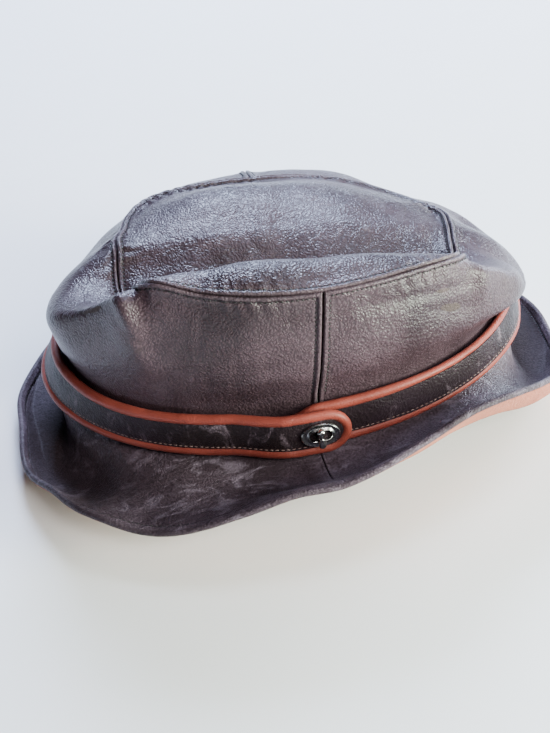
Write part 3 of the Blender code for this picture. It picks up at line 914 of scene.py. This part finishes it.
def brimPieces():
    look = brimLook
    columns = [seamStations(hat["rearSeam"], hat["frontSeam"], look["near"], look["spacing"]),
               seamStations(hat["frontSeam"], hat["rearSeam"] + 360, look["near"], look["spacing"])]
    angles = np.concatenate(columns)
    shares = edgeShares(look["rim"], brim["width"], look["rows"])
    top = brimSurface(angles, shares)
    out = -normalsOf(top)                         # the brim's own normals point down in this order
    fromRim = lengthsAlong(top[::-1], 0)[::-1]
    fromRoot = lengthsAlong(top, 0)
    worn = slouch(top, look) * fade(fromRoot, *look["smoothRoot"]) * fade(fromRim, *look["smoothRim"])
    above = top[..., 2] + hat["restHeight"]
    worn = worn * (0.25 + 0.75 * fade(above, *look["smoothFloor"]))
    along = np.concatenate([np.zeros(1), np.cumsum(np.linalg.norm(np.diff(top[-1], axis=0), axis=1))])
    at, width, least, more = look["tight"]
    tight = least + more * nearAngle(angles, at, width)
    worn += puckers(along[None] + 0 * fromRim, fromRim, rimPuckers, top) * tight[None]
    d = fromRim / mm
    plump, sunk = look["rimPlump"] * bell(d - 1.4, 1.0), look["rimSink"] * bell(d - look["rimRow"], 0.5)
    worn += (plump - sunk) * mm
    # Painted shade: the deep channels at both ends of the brim are painted darker inside, standing in for the
    # shade there
    ends = np.maximum(*(nearAngle(angles, *gutter) for gutter in look["gutters"]))
    depth = fade(shares, *look["gutterFrom"]) * (1 - 0.75 * fade(shares, *look["gutterTo"]))
    channelShade = ends[None] * depth[:, None]
    radius = (2 * brim["leather"] + hat["gap"]) / 2
    outwards = top[-1] - top[-3]
    outwards /= np.linalg.norm(outwards, axis=1, keepdims=True)
    first = 0
    for name, stations in zip(("brimLeft", "brimRight"), columns):
        part = slice(first, first + len(stations))
        first += len(stations)
        base, side = top[:, part], out[:, part]
        sew = np.minimum(lengthsAlong(base, 1), lengthsAlong(base[:, ::-1], 1)[:, ::-1]) + nearSeam[0] * mm
        relief = seamRelief(sew, look) * fade(fromRim[:, part], 0.0, 0.002) + worn[:, part]
        outer = base + side * relief[..., None]
        under = base - side * brim["leather"]
        turns = np.radians(np.linspace(0, 180, look["rollSteps"] + 1)[1:])
        rim, rimUp, rimOut = outer[-1], side[-1], outwards[part]
        roll = [rim + rimOut * math.sin(t) * radius - rimUp * (1 - math.cos(t)) * radius for t in turns]
        inside = radius - brim["leather"] * look["coreShare"]
        core = [rim - rimUp * radius + rimOut * math.sin(t) * inside + rimUp * math.cos(t) * inside
                for t in turns]
        # the seam's painted highlight and shade, and the rim's painted highlight
        wear = seamHighlightAndShade(sew, look) + look["rimPaintedHighlight"] * bell(fromRim[:, part] / mm - 1.0, 1.0)
        # painted shade in the end channels
        wear -= look["gutterPaintedShade"] * channelShade[:, part]
        wear = np.concatenate([wear, np.full((len(roll), len(stations)), -look["rollDark"])])
        outer = np.concatenate([outer, roll])
        under = np.concatenate([under, core])
        panelMesh(name, outer[::-1], under[::-1], [brimHide, brimHide], wear=wear[::-1])
        row = np.argmin(np.abs(fromRim[:, part] - look["rimRow"] * mm), axis=0)
        across = np.arange(len(stations))
        stitchRow("dark", outer[row[across], across], side[row[across], across])


underLook = {"stepDegrees": 0.75, "rows": 40, "inset": 0.4, "softSize": 0.012, "soft": 0.12}


# The under layer ends a little inside the rolled rim
def brimLining():
    look = underLook
    angles = np.arange(0, 360, look["stepDegrees"])
    grid = brimSurface(angles, np.linspace(0, 1, look["rows"]))
    down = normalsOf(grid)
    upper = grid + down * (brim["leather"] + hat["gap"])
    lower = grid + down * (2 * brim["leather"] + hat["gap"])
    for layer in (upper, lower):
        step = layer[-2] - layer[-1]
        layer[-1] += step / np.linalg.norm(step, axis=1, keepdims=True) * look["inset"] * mm
    soft = noise(grid, look["softSize"], 4) * look["soft"] * mm
    soft = soft * fade(grid[..., 2] + hat["restHeight"], 0.004, 0.008)
    lower = lower + down * soft[..., None]
    lower[..., 2] = np.maximum(lower[..., 2], -hat["restHeight"])
    panelMesh("brimUnder", upper[::-1], lower[::-1], [liningHide, liningHide], True)


brimPieces()
brimLining()
print("brim made")


# A closed tube or band swept along a route. Each section is a ring of points in metres.
def sweep(name, rings, materials, sharp=50):
    count, around = rings.shape[:2]
    verts = rings.reshape(-1, 3) + settled
    faces = []
    for k in range(count - 1):
        for c in range(around):
            d = (c + 1) % around
            faces.append((k * around + c, k * around + d, (k + 1) * around + d, (k + 1) * around + c))
    faces.append(tuple(range(around))[::-1])
    faces.append(tuple((count - 1) * around + c for c in range(around)))
    return meshPiece(name, verts, faces, materials, sharp=sharp)


bandLook = {
    "stations": 620,
    "endStations": 16,
    "across": 23,
    "bulge": 0.35,
    "tuck": 0.95,
    "seamLine": 1.25,
    "lineSink": 0.22,
    "lineWidth": 0.35,
    "fine": (0.010, 6, 0.14),        # size in metres, seed and depth in mm
    "broad": (0.024, 7, 0.25),
    "creases": 0.12,
    "stitchLift": 0.05,
}


def strapBand():
    angles, off = strapRoute(bandLook["stations"])
    middle = strap["pitch"] / 2
    half = middle - strap["piping"] / 2 + bandLook["tuck"] * mm
    tip = np.linspace(0, 88, bandLook["endStations"])[1:]
    angles = np.concatenate([angles, angles[-1] + degreesAlong(half * np.sin(np.radians(tip)))])
    off = np.concatenate([off, np.full(len(tip), off[-1])])
    high = np.concatenate([np.full(len(angles) - len(tip), half), half * np.cos(np.radians(tip))])
    share = np.linspace(-1, 1, bandLook["across"])
    outer, inner = [], []
    for s in share:
        fromEdge = (s + 1) * half / mm
        line = bandLook["lineSink"] * bell(fromEdge - bandLook["seamLine"], bandLook["lineWidth"])
        rise = bandLook["bulge"] * (1 - s * s) - line
        outer.append(strapPoint(angles, off + strap["leather"] / 2 + rise * mm, middle + s * high))
        inner.append(strapPoint(angles, off - strap["leather"] / 2, middle + s * high))
    outer = np.array(outer)
    (size, seed, depth), (wide, other, far) = bandLook["fine"], bandLook["broad"]
    worn = noise(outer, size, seed) * depth + noise(outer, wide, other) * far
    worn = worn - creases(outer, 0.012, 0.08, 60) * bandLook["creases"]
    outward = strapPoint(angles, off + 0.001, middle) - strapPoint(angles, off, middle)
    outward /= np.linalg.norm(outward, axis=1, keepdims=True)
    outer = outer + outward[None] * (worn * mm * (1 - share[:, None] ** 4))[..., None]
    rings = np.concatenate([outer, np.array(inner)[::-1]]).swapaxes(0, 1)[:, ::-1]
    sweep("strapBand", rings, [strapHide])
    row = int(np.argmin(np.abs((share + 1) * half / mm - bandLook["seamLine"])))
    stitchRow("pale", outer[row][:-12], outward[:-12], bandLook["stitchLift"] * mm)


pipingLook = {
    "stations": 560,
    "bend": 33,
    "around": 16,
    "tuck": 3.2,                     # the hidden ends run in towards the strap's middle by this, in mm
    "tuckLength": 9,
    "share": 0.90,                   # of the solid cord's thickness
    "slimmer": 0.24,
    "slimFrom": (276, 300),
    "slimTo": (350, 359),
    "gatherSize": 0.0035,
    "gathers": 0.07,
    "swellSize": 0.015,
    "swells": 0.10,
}


def strapPipingCord():
    angles, off = strapRoute(pipingLook["stations"])
    radius = strap["pitch"] / 2
    bend = np.radians(np.linspace(-90, 90, pipingLook["bend"]))[1:-1]
    along = np.concatenate([angles, angles[-1] + degreesAlong(np.cos(bend) * radius), angles[::-1]])
    tucked = 1 - fade(angles - angles[0], 0, degreesAlong(pipingLook["tuckLength"] * mm))
    tucked = tucked * pipingLook["tuck"] * mm
    rise = np.concatenate([tucked, radius + np.sin(bend) * radius, strap["pitch"] - tucked[::-1]])
    offs = np.concatenate([off, np.full(len(bend), off[-1]), off[::-1]])
    centre = strapPoint(along, offs, rise)
    tangent = np.gradient(centre, axis=0)
    tangent /= np.linalg.norm(tangent, axis=1, keepdims=True)
    outward = strapPoint(along, offs + 0.001, rise) - centre
    outward -= np.sum(outward * tangent, axis=1, keepdims=True) * tangent
    outward /= np.linalg.norm(outward, axis=1, keepdims=True)
    side = np.cross(tangent, outward)
    turns = np.linspace(0, 2 * math.pi, pipingLook["around"], endpoint=False)
    ring = outward[:, None] * np.cos(turns)[None, :, None] + side[:, None] * np.sin(turns)[None, :, None]
    turnedTo = np.mod(along, 360)
    slimmed = fade(turnedTo, *pipingLook["slimFrom"]) * (1 - fade(turnedTo, *pipingLook["slimTo"]))
    slim = pipingLook["share"] - pipingLook["slimmer"] * slimmed
    rings = centre[:, None] + ring * (slim * strap["piping"] / 2)[:, None, None]
    gathers = (noise(rings, pipingLook["gatherSize"], 8) * pipingLook["gathers"]
               + noise(rings, pipingLook["swellSize"], 3) * pipingLook["swells"])
    rings = rings + ring * (gathers * mm)[..., None]
    sweep("strapPipingCord", rings, [pipingHide])


strapBand()
strapPipingCord()
print("strap made")

lock = {
    "plateLength": 14.8,
    "plateHeight": 10.4,
    "slotLength": 8.6,
    "slotHeight": 4.6,
    "face": 2.5,
    "plateTop": 1.1,
    "knobLength": 8.4,
    "knobWidth": 2.8,
    "knobFoot": 4.2,
    "knobEdge": ((0.80, 0.0), (0.94, 0.10), (1.0, 0.35), (1.0, 1.35), (0.96, 1.75), (0.86, 2.05),
                 (0.70, 2.25), (0.45, 2.36), (0.15, 2.40)),
    "knobWaist": 0.26,
    "knobFlare": 0.10,
    "knobDip": 0.35,
    "plateEdge": ((0.0, 0.02), (0.0, 0.35), (0.03, 0.62), (0.09, 0.78), (0.20, 0.72), (0.42, 0.55),
                  (0.60, 0.50), (0.70, 0.62), (0.78, 0.95), (0.86, 1.12), (0.94, 1.10), (1.0, 0.95),
                  (1.0, 0.02)),
    "rivetRadius": 0.85,
    "rivetFoot": 1.85,
    "rivetDome": 0.72,
}


def slotOutline(turns, length, height):
    radius = height / 2
    x, y = np.cos(turns), np.sin(turns)
    x = np.sign(x) * (length / 2 - radius) * np.clip(np.abs(x) * 3, 0, 1) + radius * x
    return np.column_stack([x, radius * y])


# Rings stacked from first to last, in millimetres in the lock's frame, closed on themselves or capped
def ringStack(name, rings, body, materials, looped, sharp=35):
    count, around = len(rings), len(rings[0])
    verts = [tuple(lockFrame @ Vector(p)) for ring in rings for p in ring * mm]
    faces = []
    for k in range(count if looped else count - 1):
        for c in range(around):
            a, b = k * around, (k + 1) % count * around
            d = (c + 1) % around
            faces.append((a + c, a + d, b + d, b + c))
    if not looped:
        faces.append(tuple(range(around))[::-1])
        faces.append(tuple((count - 1) * around + c for c in range(around)))
    piece = meshPiece(name, verts, faces, materials, sharp=sharp)
    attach(piece, body)
    return piece


# The plate dips between its outer edge and a raised lip round the slot
def lockPlate():
    turns = np.linspace(0, 2 * math.pi, 72, endpoint=False)
    rim = np.column_stack([np.cos(turns) * lock["plateLength"] / 2, np.sin(turns) * lock["plateHeight"] / 2])
    slot = slotOutline(turns, lock["slotLength"], lock["slotHeight"])
    rings = []
    for share, high in lock["plateEdge"]:
        plan = rim + share * (slot - rim)
        rings.append(np.column_stack([plan, np.full(len(plan), lock["face"] + high * lock["plateTop"])]))
    return ringStack("lockPlateOval", rings, "hat", [plateNickelPaintedHighlight], True)


def turnKnob():
    turns = np.linspace(0, 2 * math.pi, 64, endpoint=False)
    base = slotOutline(turns, lock["knobLength"], lock["knobWidth"])[:, ::-1]
    pinch = 1 - lock["knobWaist"] * bell(base[:, 1], 1.5)
    pinch = pinch + lock["knobFlare"] * bell(np.abs(base[:, 1]) - 3.0, 1.0)
    base = np.column_stack([base[:, 0] * pinch, base[:, 1]])[::-1]
    rings = []
    for share, high in lock["knobEdge"]:
        inset = (1 - share) * lock["knobWidth"] / 2
        plan = base * np.array([share, 1 - inset / (lock["knobLength"] / 2)])
        arch = lock["knobDip"] * bell(plan[:, 1], 1.6) * (high > 1.5)
        rings.append(np.column_stack([plan, lock["knobFoot"] + high - arch]))
    return ringStack("turnKnobBar", rings, "knob", [knobNickelPaintedHighlight], False)


def knobRivet():
    turns = np.linspace(0, 2 * math.pi, 20, endpoint=False)
    rings = []
    for t in np.radians(np.linspace(0, 85, 6)):
        r = lock["rivetRadius"] * math.cos(t)
        high = lock["knobFoot"] + (lock["rivetFoot"] + lock["rivetDome"] * math.sin(t))
        rings.append(np.column_stack([r * np.cos(turns), r * np.sin(turns), np.full(len(turns), high)]))
    return ringStack("knobRivet", rings, "knob", [knobNickelPaintedHighlight], False)


lockPlate()
turnKnob()
knobRivet()
lockBase = frame["nodes"]["lock_base"].data.materials
lockBase.clear()
lockBase.append(baseNickel)
print("turn lock made")

# Stitches: a thread lies along each row at a fixed pitch, turned to the leather
stitchLook = {
    "dark": {"pitch": 1.85, "length": 1.10, "width": 0.90, "height": 0.50, "material": darkThreadHoleShade},
    "pale": {"pitch": 2.10, "length": 1.45, "width": 0.42, "height": 0.34, "material": paleThread},
}


def stitchTree(name, material):
    tree = bpy.data.node_groups.new(name, "GeometryNodeTree")
    face = tree.interface
    face.new_socket("Geometry", in_out="INPUT", socket_type="NodeSocketGeometry")
    for size in ("Pitch", "Length", "Width", "Height"):
        face.new_socket(size, in_out="INPUT", socket_type="NodeSocketFloat")
    face.new_socket("Seed", in_out="INPUT", socket_type="NodeSocketInt")
    face.new_socket("Geometry", in_out="OUTPUT", socket_type="NodeSocketGeometry")

    def add(kind, settings={}, inputs={}):
        node = tree.nodes.new(kind)
        for key, value in settings.items():
            setattr(node, key, value)
        for key, value in inputs.items():
            socket = node.inputs[key]
            if isinstance(value, bpy.types.NodeSocket):
                tree.links.new(value, socket)
            else:
                socket.default_value = value
        return node

    given = add("NodeGroupInput")
    curve = add("GeometryNodeMeshToCurve", {}, {"Mesh": given.outputs["Geometry"]})
    spaced = add("GeometryNodeResampleCurve", {"mode": "LENGTH"},
                 {"Curve": curve.outputs["Curve"], "Length": given.outputs["Pitch"]})
    outward = add("GeometryNodeInputNamedAttribute", {"data_type": "FLOAT_VECTOR"}, {"Name": "outward"})
    tangent = add("GeometryNodeInputTangent")
    along = add("FunctionNodeAlignRotationToVector", {"axis": "X"}, {"Vector": tangent.outputs["Tangent"]})
    turned = add("FunctionNodeAlignRotationToVector", {"axis": "Z", "pivot_axis": "X"},
                 {"Rotation": along.outputs["Rotation"], "Vector": outward.outputs["Attribute"]})
    wobble = add("FunctionNodeRandomValue", {"data_type": "FLOAT_VECTOR"},
                 {"Min": (-0.05, -0.06, -0.14), "Max": (0.05, 0.06, 0.14), "Seed": given.outputs["Seed"]})
    askew = add("FunctionNodeEulerToRotation", {}, {"Euler": wobble.outputs["Value"]})
    rotated = add("FunctionNodeRotateRotation", {"rotation_space": "LOCAL"},
                  {"Rotation": turned.outputs["Rotation"], "Rotate By": askew.outputs["Rotation"]})
    bead = add("GeometryNodeMeshUVSphere", {}, {"Segments": 8, "Rings": 5, "Radius": 0.5})
    size = add("ShaderNodeCombineXYZ", {}, {"X": given.outputs["Length"], "Y": given.outputs["Width"],
                                            "Z": given.outputs["Height"]})
    placedAt = add("GeometryNodeInstanceOnPoints", {}, {
        "Points": spaced.outputs["Curve"], "Instance": bead.outputs["Mesh"],
        "Rotation": rotated.outputs["Rotation"], "Scale": size.outputs["Vector"]})
    real = add("GeometryNodeRealizeInstances", {}, {"Geometry": placedAt.outputs["Instances"]})
    smooth = add("GeometryNodeSetShadeSmooth", {}, {"Geometry": real.outputs["Geometry"]})
    coloured = add("GeometryNodeSetMaterial", {},
                   {"Geometry": smooth.outputs["Geometry"], "Material": material})
    add("NodeGroupOutput", {}, {"Geometry": coloured.outputs["Geometry"]})
    return tree


def stitches(name, thread):
    look = stitchLook[thread]
    verts, outward, edges = [], [], []
    for points, out in stitchLines[thread]:
        start = len(verts)
        verts += [tuple(p) for p in points]
        outward += [tuple(o) for o in out]
        edges += [(start + k, start + k + 1) for k in range(len(points) - 1)]
    mesh = bpy.data.meshes.new(name + "Rows")
    mesh.from_pydata(verts, edges, [])
    faced = mesh.attributes.new("outward", "FLOAT_VECTOR", "POINT")
    faced.data.foreach_set("vector", np.array(outward).ravel())
    rows = bpy.data.objects.new(name + "Rows", mesh)
    bpy.context.scene.collection.objects.link(rows)
    tree = stitchTree(name + "Tree", look["material"])
    sewing = rows.modifiers.new("sewing", "NODES")
    sewing.node_group = tree
    sizes = {"Pitch": look["pitch"] * mm, "Length": look["length"] * mm, "Width": look["width"] * mm,
             "Height": look["height"] * mm, "Seed": 3}
    for socket in tree.interface.items_tree:
        if socket.in_out == "INPUT" and socket.name in sizes:
            sewing[socket.identifier] = sizes[socket.name]
    graph = bpy.context.evaluated_depsgraph_get()
    sewn = bpy.data.meshes.new_from_object(rows.evaluated_get(graph))
    bpy.data.objects.remove(rows)
    piece = bpy.data.objects.new(name, sewn)
    bpy.context.scene.collection.objects.link(piece)
    made[name] = piece
    return piece


stitches("hideStitches", "dark")
stitches("strapStitches", "pale")
print("stitches made:", {name: len(made[name].data.polygons) for name in ("hideStitches", "strapStitches")})

# What rides on what, and which solids each piece stands for
standsFor = {
    "wallLeft": ("wall_left", "crown_leather"),
    "wallRight": ("wall_right", "crown_leather"),
    "crownTip": ("crown_tip", "crown_leather"),
    "brimLeft": ("brim_left", "brim_upper"),
    "brimRight": ("brim_right", "brim_upper"),
    "brimUnder": ("brim_under", "brim_lining"),
    "strapBand": ("strap", "strap_hide"),
    "strapPipingCord": ("strap_piping", "piping_hide"),
    "lockPlateOval": ("lock_plate", "dark_nickel"),
    "turnKnobBar": ("turn_knob", "dark_nickel"),
    "hideStitches": (None, "crown_leather"),
    "strapStitches": (None, "strap_hide"),
    "knobRivet": (None, "dark_nickel"),
}
lockPieces = ("lockPlateOval", "turnKnobBar", "knobRivet")     # these ride where ringStack puts them
for name, (node, finish) in standsFor.items():
    if name not in lockPieces:
        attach(made[name], "hat")
    if node:
        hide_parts(node)

# Floor, light and camera
floorLook = {
    "dark": tone(0.76, 0.76, 0.76),
    "light": tone(0.79, 0.79, 0.79),
    "speckle": 30.0,
    "rough": 0.8,
    "size": 6,
}
pale = Recipe("pale_floor")
bpy.ops.mesh.primitive_plane_add(size=floorLook["size"])
floor = bpy.context.object
floor.name = "floor"
speckle = pale.mix(pale.noise(floorLook["speckle"]), floorLook["dark"], floorLook["light"])
floor.data.materials.append(pale.finish(speckle, floorLook["rough"]))

world = bpy.context.scene.world or bpy.data.worlds.new("studio")
bpy.context.scene.world = world
world.use_nodes = True
sky = {
    "towards": (0.72, 0.28, 0.64),
    "stops": ((0.35, tone(0.015, 0.014, 0.016)), (0.70, tone(0.07, 0.074, 0.085)),
              (0.95, tone(0.34, 0.37, 0.45))),
}
direction = world.node_tree.nodes.new("ShaderNodeTexCoord")
facing = world.node_tree.nodes.new("ShaderNodeVectorMath")
facing.operation = "DOT_PRODUCT"
facing.inputs[1].default_value = sky["towards"]
spread = world.node_tree.nodes.new("ShaderNodeMapRange")
spread.inputs["From Min"].default_value = -1.0
bands = world.node_tree.nodes.new("ShaderNodeValToRGB")
bands.color_ramp.elements.new(0.5)
for stop, (position, shade) in zip(bands.color_ramp.elements, sky["stops"]):
    stop.position = position
    stop.color = shade
backdrop = world.node_tree.nodes["Background"]
world.node_tree.links.new(direction.outputs["Generated"], facing.inputs[0])
world.node_tree.links.new(facing.outputs["Value"], spread.inputs["Value"])
world.node_tree.links.new(spread.outputs["Result"], bands.inputs["Fac"])
world.node_tree.links.new(bands.outputs["Color"], backdrop.inputs["Color"])

# Soft boxes: where each hangs, what it points at, its size, power and colour
lights = {
    "skyPanel": ((0.15, 0.94, 0.88), (0.0, 0.0, 0.07), 0.45, 52.0, (0.58, 0.70, 1.0)),
    "topPanel": ((0.45, 0.05, 1.10), (0.0, 0.0, 0.07), 0.35, 7.0, (0.74, 0.84, 1.0)),
    "rightPanel": ((0.75, -0.52, 0.20), (0.05, -0.05, 0.05), 0.40, 44.0, (0.90, 1.0, 0.84)),
    "sidePanel": ((0.95, 0.45, 0.30), (0.08, -0.04, 0.02), 0.40, 22.0, (0.72, 0.84, 1.0)),
    "frontPanel": ((0.42, -1.15, 0.95), (0.0, 0.0, 0.04), 0.4, 19.0, (1.0, 0.92, 0.88)),
}
for name, (spot, aim, size, power, colour) in lights.items():
    lamp = bpy.data.lights.new(name, "AREA")
    lamp.shape = "SQUARE"
    lamp.size = size
    lamp.energy = power
    lamp.color = colour
    holder = bpy.data.objects.new(name, lamp)
    holder.location = spot
    holder.rotation_euler = (Vector(aim) - Vector(spot)).to_track_quat("-Z", "Y").to_euler()
    bpy.context.scene.collection.objects.link(holder)

view = {
    "azimuth": -5.9,
    "elevation": 35.5,
    "roll": -8.2,
    "distance": 0.6,
    "aim": (-0.006, 0.0, -0.0262),
    "lens": 66.94,
    "sensor": 36.0,
}
a, e, roll = (math.radians(view[key]) for key in ("azimuth", "elevation", "roll"))
back = Vector((math.sin(a) * math.cos(e), -math.cos(a) * math.cos(e), math.sin(e)))
right = Vector((0, 0, 1)).cross(back).normalized()
high = back.cross(right)
turnedRight = right * math.cos(roll) + high * math.sin(roll)
turnedUp = high * math.cos(roll) - right * math.sin(roll)
lens = bpy.data.cameras.new("photoView")
lens.sensor_width = view["sensor"]
lens.lens = view["lens"]
camera = bpy.data.objects.new("photoView", lens)
camera.matrix_world = Matrix((turnedRight, turnedUp, back)).transposed().to_4x4()
camera.location = Vector(view["aim"]) + back * view["distance"] + Vector(settled)
bpy.context.scene.collection.objects.link(camera)
bpy.context.scene.camera = camera
print("stage ready")
